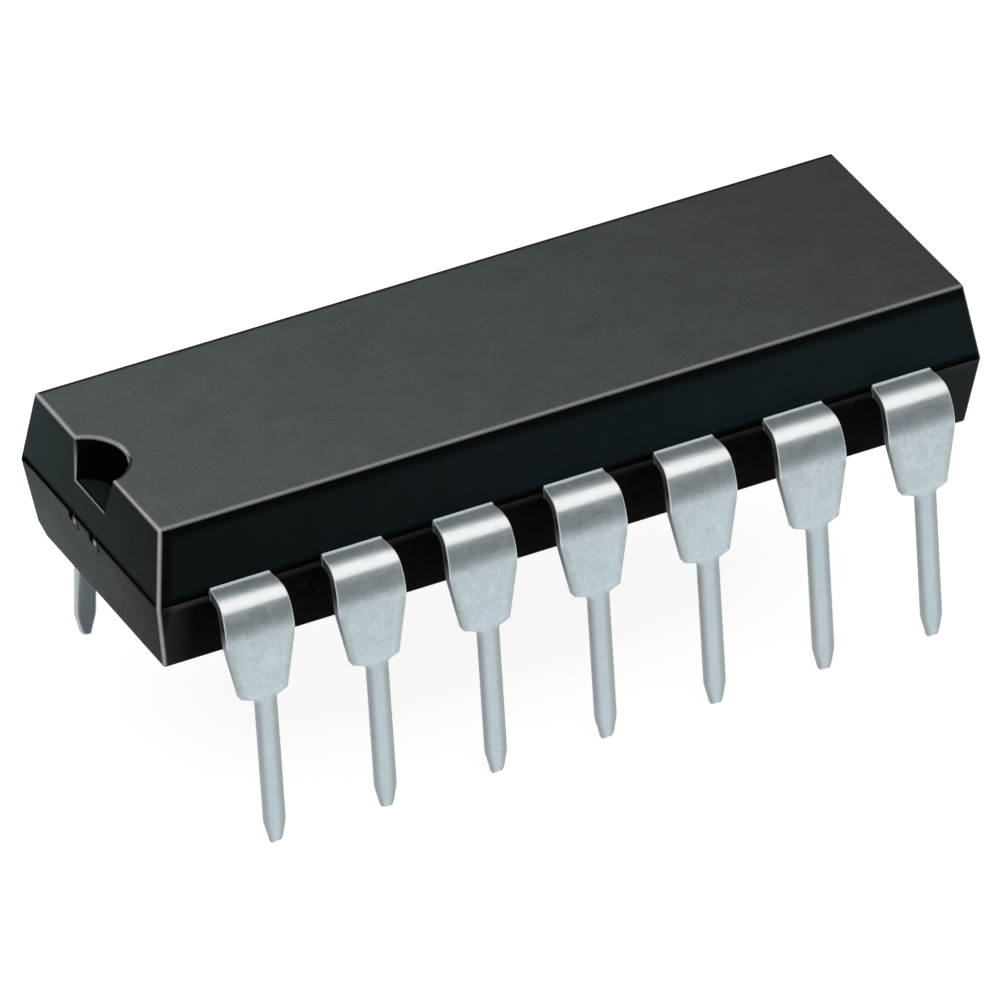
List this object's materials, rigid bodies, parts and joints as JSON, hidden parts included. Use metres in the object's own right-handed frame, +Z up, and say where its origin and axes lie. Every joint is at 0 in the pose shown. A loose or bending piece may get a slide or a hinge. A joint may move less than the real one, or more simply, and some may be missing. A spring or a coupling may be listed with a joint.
{
  "type": "dual in-line integrated circuit",
  "caption": "Dual in-line integrated circuit: drafted black moulded body with an index notch on two rows of bent, tinned, tapered leads, over a leadframe, die and bond wires.",
  "frame": {"origin": "middle of the footprint, in the plane of the lead tips", "axes": "+X along the body, away from the end with the index notch; +Y from leads 1 to 7 towards leads 8 to 14; +Z up, from the lead tips to the top face"},
  "size_m": [0.019, 0.0088, 0.0073],
  "materials": {
    "mould_compound": "satin",
    "tinned_lead": "satin",
    "copper_alloy": "satin",
    "silver_epoxy": "matte",
    "silicon": "gloss",
    "gold_wire": "polished"
  },
  "bodies": {
    "root": {"package_body": "mould_compound", "die_paddle": "copper_alloy", "die_attach": "silver_epoxy", "silicon_die": "silicon", "lead_01": "tinned_lead", "lead_02": "tinned_lead", "lead_03": "tinned_lead", "lead_04": "tinned_lead", "lead_05": "tinned_lead", "lead_06": "tinned_lead", "lead_07": "tinned_lead", "lead_08": "tinned_lead", "lead_09": "tinned_lead", "lead_10": "tinned_lead", "lead_11": "tinned_lead", "lead_12": "tinned_lead", "lead_13": "tinned_lead", "lead_14": "tinned_lead", "bond_wire_01": "gold_wire", "bond_wire_02": "gold_wire", "bond_wire_03": "gold_wire", "bond_wire_04": "gold_wire", "bond_wire_05": "gold_wire", "bond_wire_06": "gold_wire", "bond_wire_07": "gold_wire", "bond_wire_08": "gold_wire", "bond_wire_09": "gold_wire", "bond_wire_10": "gold_wire", "bond_wire_11": "gold_wire", "bond_wire_12": "gold_wire", "bond_wire_13": "gold_wire", "bond_wire_14": "gold_wire"}
  },
  "joints": []
}
